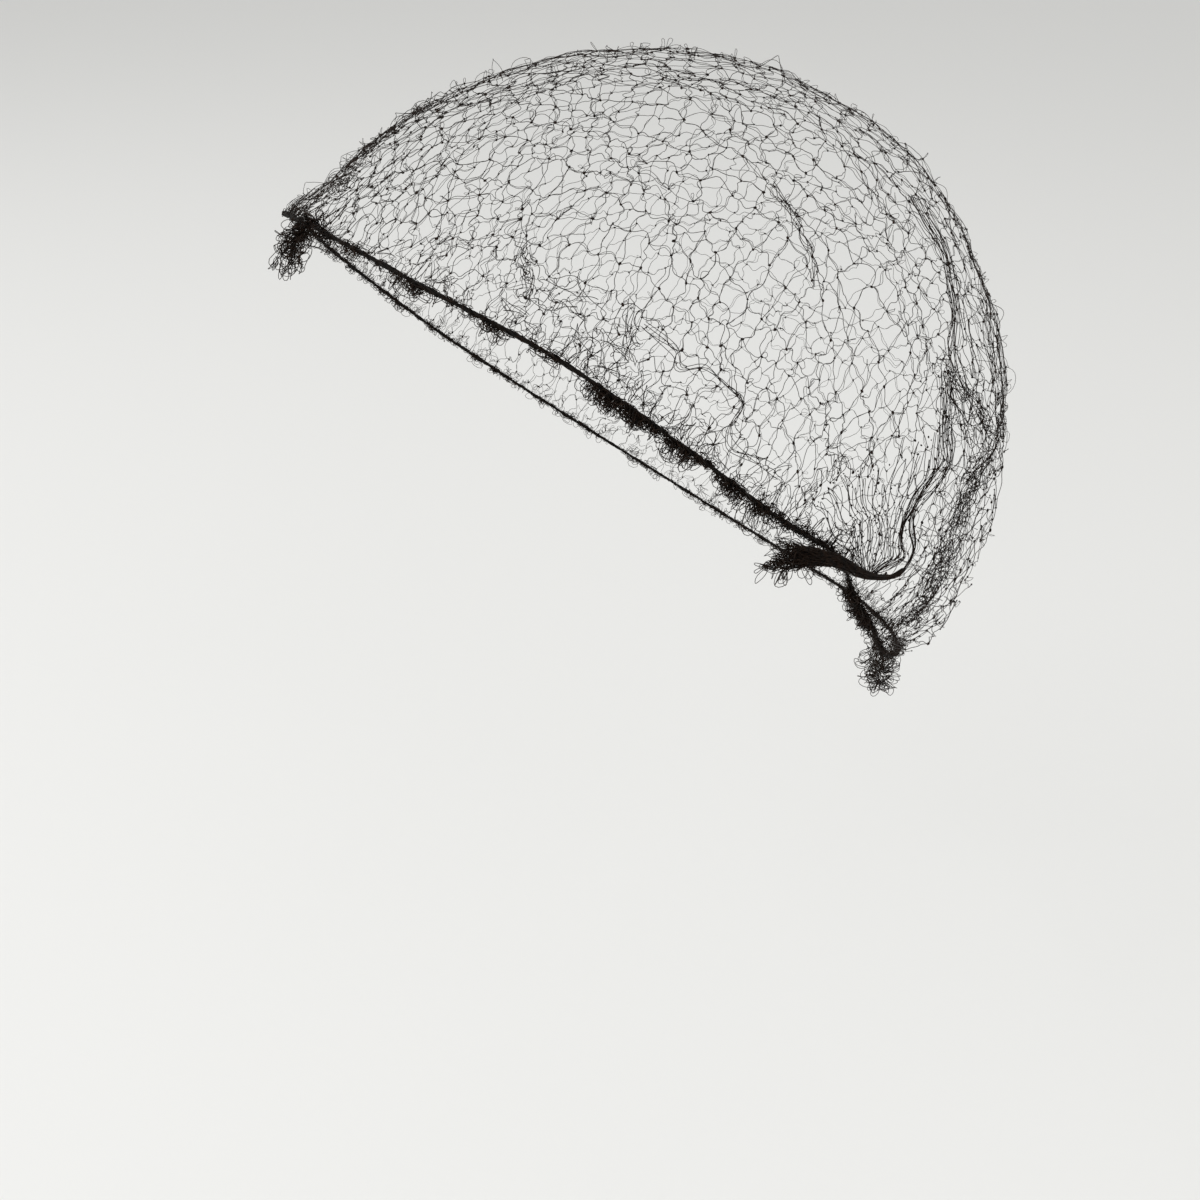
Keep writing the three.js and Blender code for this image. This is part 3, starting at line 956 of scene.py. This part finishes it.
def elastic_ply(turn, angle, radius):
    """Points this far from the elastic's middle line, at an angle round it."""
    middle = elastic_at(turn)
    along = unit(elastic_at(turn + 1) - elastic_at(turn - 1))
    out = square_to(along, unit(middle - HEAD_CENTRE))
    down = np.cross(along, out)
    outward, downward = np.cos(angle) * radius, np.sin(angle) * radius
    return middle + out * outward[..., None] + down * downward[..., None]


def elastic_parts():
    """The plies of the elastic's core."""
    turns = np.linspace(0, 360, 721)
    wobble = 0.06 * MM * (np.sin(np.radians(turns * 40)) + np.sin(np.radians(turns * 61)))
    parts = []
    for number in range(PLIES):
        angle = np.radians(turns * PLY_TWISTS) + number * math.tau / PLIES
        path = elastic_ply(turns, angle, PLY_RADIUS + wobble)[None]
        parts.append(tubes(path, PLY_STRAND, 5))
    return parts


def curls(count, turns, height, run=0.5, steps=8, clusters=0, below=0.0, strand=LOOP_STRAND):
    """Small loops of net round the elastic between two turns, spread evenly or in clusters."""
    start = rng.uniform(*turns, count)
    if clusters:
        middles = rng.uniform(*turns, clusters)
        start = middles[rng.integers(0, clusters, count)] + rng.normal(0, 0.75, count)
    run = rng.normal(run, 0.5, count)
    angle = rng.uniform(0, math.tau, count)
    angle = angle * (1 - below) + below * rng.normal(0.5 * math.pi, 0.7, count)
    tall = np.abs(rng.normal(height, 0.5 * height, count)) * MM
    share = np.linspace(0, 1, steps + 1)
    turn = start[:, None] + run[:, None] * share
    turn = turn + rng.normal(0, 0.5, (count, 1)) * np.sin(math.tau * share)
    angles = angle[:, None] + rng.normal(0, 1.6, (count, 1)) * (share - 0.5)
    radius = 0.32 * MM + tall[:, None] * np.sin(math.pi * share) + wander(count, steps, 3, 0.1 * MM)
    return tubes(elastic_ply(turn, angles, radius), strand)


def slack_arches(count, turns, height, steps=16):
    """Slack meshes that rise from the elastic between two turns and come back to it."""
    start = rng.uniform(*turns, count)
    run = rng.normal(0, 2.2, count)
    share = np.linspace(0, 1, steps + 1)
    tall = np.abs(rng.normal(height, 0.4 * height, count))[:, None]
    swell = np.sin(math.pi * share)
    turn = start[:, None] + run[:, None] * share + wander(count, steps, 6, 0.9) * swell
    rise = tall * swell ** 0.8 + wander(count, steps, 6, 0.9) * swell
    reach = edge_reach(turn) - 0.5 - np.maximum(rise, -1)
    lift = (0.5 + wander(count, steps, 4, 0.6)) * MM * swell
    return on_net(flat_of(turn, reach), lift)


cap_radii = measure_cap()
elastic_points = measure_elastic()


# -------- materials


def thread_material(name, dark, light, roughness, scale):
    """A dark fibre: uneven dye, uneven sheen and fine ribs of twist."""
    material = bpy.data.materials.new(name)
    material.use_nodes = True
    nodes, links = material.node_tree.nodes, material.node_tree.links
    shader = nodes["Principled BSDF"]
    coordinates = nodes.new("ShaderNodeTexCoord")
    dye = nodes.new("ShaderNodeTexNoise")
    dye.inputs["Scale"].default_value = scale
    dye.inputs["Detail"].default_value = 4
    ramp = nodes.new("ShaderNodeValToRGB")
    for element, place, colour in zip(ramp.color_ramp.elements, DYE_LIMITS, (dark, light)):
        element.position = place
        element.color = (*colour, 1)
    links.new(coordinates.outputs["Object"], dye.inputs["Vector"])
    links.new(dye.outputs["Fac"], ramp.inputs["Fac"])
    links.new(ramp.outputs["Color"], shader.inputs["Base Color"])
    sheen = nodes.new("ShaderNodeMapRange")
    sheen.inputs["To Min"].default_value = roughness - SHEEN_SPREAD
    sheen.inputs["To Max"].default_value = roughness + SHEEN_SPREAD
    links.new(dye.outputs["Fac"], sheen.inputs["Value"])
    links.new(sheen.outputs["Result"], shader.inputs["Roughness"])
    shader.inputs["Specular IOR Level"].default_value = GLOSS
    twist = nodes.new("ShaderNodeTexWave")
    twist.bands_direction = "DIAGONAL"
    twist.inputs["Scale"].default_value = TWIST_PER_DYE * scale
    twist.inputs["Distortion"].default_value = 3
    bump = nodes.new("ShaderNodeBump")
    bump.inputs["Strength"].default_value = 0.4
    bump.inputs["Distance"].default_value = TWIST_DEPTH
    links.new(coordinates.outputs["Object"], twist.inputs["Vector"])
    links.new(twist.outputs["Fac"], bump.inputs["Height"])
    links.new(bump.outputs["Normal"], shader.inputs["Normal"])
    return material


net_thread = thread_material("net_thread", *NET_DYE, roughness=0.5, scale=900)
elastic_cord = thread_material("elastic_cord", *ELASTIC_DYE, roughness=0.75, scale=1500)


# -------- making the pieces


def thread_piece(name, parts, *nodes):
    """A piece of net thread from several (vertices, faces) parts."""
    make_piece(name, parts, net_thread, "net_thread", *nodes)


def make_net():
    """The net in five pieces, its knots and curls, the fan and the loose outer meshes."""
    first, second, lifts, knot_places, knot_lifts = net_legs()
    turn, reach = turn_reach(0.5 * (first + second))
    quarter = np.round((turn % 360) / 90).astype(int) % 4
    quarter[reach < CROWN_REACH] = QUARTERS.index("net_crown")
    for number, name in enumerate(QUARTERS):
        ours = quarter == number
        thread_piece(name, net_strands(first[ours], second[ours], lifts[ours]), "net_cap")
    thread_piece("net_knots", [knots(on_net(knot_places, knot_lifts), KNOT)], "net_cap")
    thread_piece("net_curls", [tubes(standing_curls(knot_places, knot_lifts))], "net_cap")
    thread_piece("tie_fan", fan_parts(knot_places), "net_cap")
    legs, corners = chain_legs()
    crossing = cross_paths()
    loose = [tubes(legs, CHAIN_STRAND), knots(corners, CHAIN_KNOT), tubes(crossing, LONE_STRAND)]
    thread_piece("outer_meshes", loose, "net_cap")


def gather_line(node, start, steps=12):
    """The middle line of a gathered solid, from the end nearest a point, and its half width."""
    vertices, _ = node_mesh(node)
    middle = vertices.mean(0)
    _, _, axes = np.linalg.svd(vertices - middle, full_matrices=False)
    along = axes[0] if (middle - start) @ axes[0] > 0 else -axes[0]
    share = (vertices - middle) @ along
    low, high = share.min(), share.max()
    edges = np.linspace(low, high, steps + 1)
    line, half = [], []
    for a, b in zip(edges[:-1], edges[1:]):
        ring = vertices[(share >= a - ROUNDING) & (share <= b + ROUNDING)]
        if len(ring):
            line.append(ring.mean(0))
            half.append(np.linalg.norm(ring - ring.mean(0), axis=1).mean())
    return np.array(line), np.array(half)


def round_loops(line, half, count, size, span, toward, steps=16):
    """Rounded loops that stick out of a gathered piece, all round it or rather one way."""
    share = rng.uniform(*span, (count, 1))
    middle, wide, heading, out, across = (value[:, 0] for value in along_line(line, half, share))
    angle = rng.uniform(0, math.tau, (count, 1))
    onward = heading * rng.uniform(-0.2, 1.2, (count, 1))
    away = across * np.cos(angle) + out * np.sin(angle) + onward
    away = unit(unit(away) + np.array(toward) * rng.uniform(0.2, 1.4, (count, 1)))
    aside = unit(np.cross(away, rng.normal(0, 1, (count, 3))))
    base = middle + away * wide[:, None] * 0.3
    long = size * rng.uniform(0.5, 1.5, count) * MM
    return loop_paths(base, away, aside, long, long * rng.uniform(0.5, 1.0, count), steps, 0.06)


def make_gather(node, name, strands, width, coil, core, loops, size, span, toward):
    """A bunch or tuft of net in place of its solid."""
    vertices, _ = node_mesh(node)
    near = elastic_at(place_of(vertices.mean(0)[None])[0])[0]
    line, half = gather_line(node, near)
    if node == "front_gather":
        # This bunch hangs from the elastic itself, and ends a little short of its solid.
        line = np.concatenate([near[None], line[:-2]])
        half = np.concatenate([half[:1], half[:-2]])
    outer = tangle_paths(line, half * width, strands, 0.4, coil, 1.2)
    inner = tangle_paths(line, half * CORE_WIDTH, core, 0.8, CORE_COIL, 0.5)
    standing = round_loops(line, half, loops, size, span, toward)
    parts = [tubes(outer, LOOP_STRAND), tubes(inner, LONE_STRAND), tubes(standing, LOOP_STRAND)]
    thread_piece(name, parts, node)


def hanging_loops(count, turns, size, steps=18):
    """Long slack loops that hang from the elastic between two turns."""
    turn = rng.uniform(*turns, count)
    base = elastic_at(turn)
    forward = unit(elastic_at(turn - 1) - base)
    axis = unit(np.array([0.1, 0, -1]) + forward * rng.normal(0.1, 0.45, (count, 1)))
    aside = square_to(axis, forward)
    long = size * rng.uniform(0.5, 1.2, count) * MM
    return loop_paths(base, axis, aside, long, long * rng.uniform(0.4, 0.7, count), steps, 0.06)


make_net()
drawn = [part for bundle in DRAWN_BUNDLES for part in drawn_parts(*bundle)]
thread_piece("fold_rope", drawn, "net_cap")
crumpled = [
    tubes(tangle_paths(*line_of(rows), *sizes), strand) for rows, *sizes, strand in CRUMPLED
]
thread_piece("crumpled_net", crumpled, "net_cap")
bundles = [bundle_paths(TIE[start:], *strands) for start, *strands in TIE_STRANDS]
thread_piece("tie_bundle", [tubes(paths, LONE_STRAND) for paths in bundles], "side_gather")
for gather in GATHERS:
    make_gather(**gather)
make_piece("elastic_core", elastic_parts(), elastic_cord, "elastic_cord", "edge_elastic")
round_elastic = [curls(**row) for row in CURLS]
round_elastic += [tubes(hanging_loops(*loops), strand) for *loops, strand in HANGING]
thread_piece("elastic_curls", round_elastic, "edge_elastic")
arches = [tubes(slack_arches(*meshes), strand) for *meshes, strand in ARCHES]
thread_piece("edge_slack", arches, "edge_elastic")


# -------- camera, light and floor


def add_camera():
    """The camera, looking along its line and rolled a little about it."""
    look = CAMERA_LOOK.normalized()
    right = look.cross(Vector((0, 0, 1))).normalized()
    up = right.cross(look)
    turned_right = math.cos(CAMERA_ROLL) * right + math.sin(CAMERA_ROLL) * up
    turned_up = math.cos(CAMERA_ROLL) * up - math.sin(CAMERA_ROLL) * right
    data = bpy.data.cameras.new("camera")
    data.lens = CAMERA_LENS
    data.sensor_width = CAMERA_SENSOR
    data.clip_start = CAMERA_NEAREST
    camera = bpy.data.objects.new("camera", data)
    turning = Matrix((turned_right, turned_up, -look)).transposed().to_4x4()
    camera.matrix_world = Matrix.Translation(CAMERA_PLACE) @ turning
    bpy.context.scene.collection.objects.link(camera)
    bpy.context.scene.camera = camera


def add_floor():
    """A plain pale floor."""
    mesh = bpy.data.meshes.new("floor")
    ways = ((-1, -1), (1, -1), (1, 1), (-1, 1))
    corners = [(x * FLOOR_HALF_SIZE, y * FLOOR_HALF_SIZE, FLOOR_HEIGHT) for x, y in ways]
    mesh.from_pydata(corners, [], [(0, 1, 2, 3)])
    material = bpy.data.materials.new("floor")
    material.use_nodes = True
    shader = material.node_tree.nodes["Principled BSDF"]
    shader.inputs["Base Color"].default_value = FLOOR_COLOUR
    shader.inputs["Roughness"].default_value = FLOOR_ROUGHNESS
    mesh.materials.append(material)
    floor = bpy.data.objects.new("floor", mesh)
    bpy.context.scene.collection.objects.link(floor)


def add_light(name, place, size, power):
    """A square soft light that points at the object."""
    data = bpy.data.lights.new(name, "AREA")
    data.size = size
    data.energy = power
    light = bpy.data.objects.new(name, data)
    light.location = place
    light.rotation_euler = (-Vector(place)).to_track_quat("-Z", "Y").to_euler()
    bpy.context.scene.collection.objects.link(light)


def add_world():
    """Even pale light from all round."""
    world = bpy.data.worlds.new("world")
    bpy.context.scene.world = world
    world.use_nodes = True
    background = world.node_tree.nodes["Background"]
    background.inputs["Color"].default_value = WORLD_COLOUR
    background.inputs["Strength"].default_value = WORLD_STRENGTH


add_camera()
add_floor()
for name, settings in LIGHTS.items():
    add_light(name, *settings)
add_world()
bpy.context.scene.view_settings.view_transform = "Standard"
